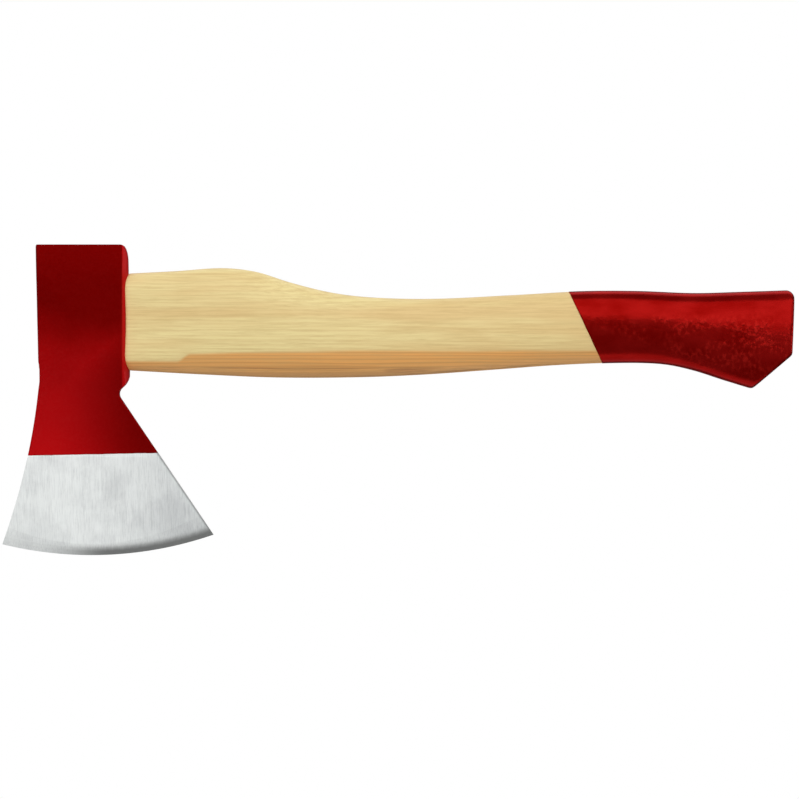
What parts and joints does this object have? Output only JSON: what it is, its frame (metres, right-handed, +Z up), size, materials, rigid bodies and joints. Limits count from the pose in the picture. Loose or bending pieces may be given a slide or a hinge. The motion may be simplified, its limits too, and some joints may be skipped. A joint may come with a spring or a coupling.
{
  "type": "fire axe",
  "caption": "Small fire axe with a red forged head, bright ground blade and a curved ash handle dipped in red lacquer.",
  "frame": {"origin": "middle of the grip, where a hand or a bracket holds the handle", "axes": "+X along the handle towards the butt, +Z up out of the poll with the cutting edge down, Y across the thickness"},
  "size_m": [0.3771, 0.028, 0.1478],
  "materials": {
    "red_paint": "satin red enamel over forged steel",
    "blade_steel": "ground bright steel with fine upright grinding lines",
    "ash_wood": "sanded ash with fine long grain",
    "grip_lacquer": "thick gloss red dip lacquer over wood",
    "wedge_wood": "sawn hardwood wedge",
    "ring_steel": "blackened turned steel ring"
  },
  "bodies": {
    "root": {"head": "red_paint", "handle": "ash_wood", "wooden_wedge": "wedge_wood", "ring_wedge": "ring_steel"}
  },
  "joints": []
}
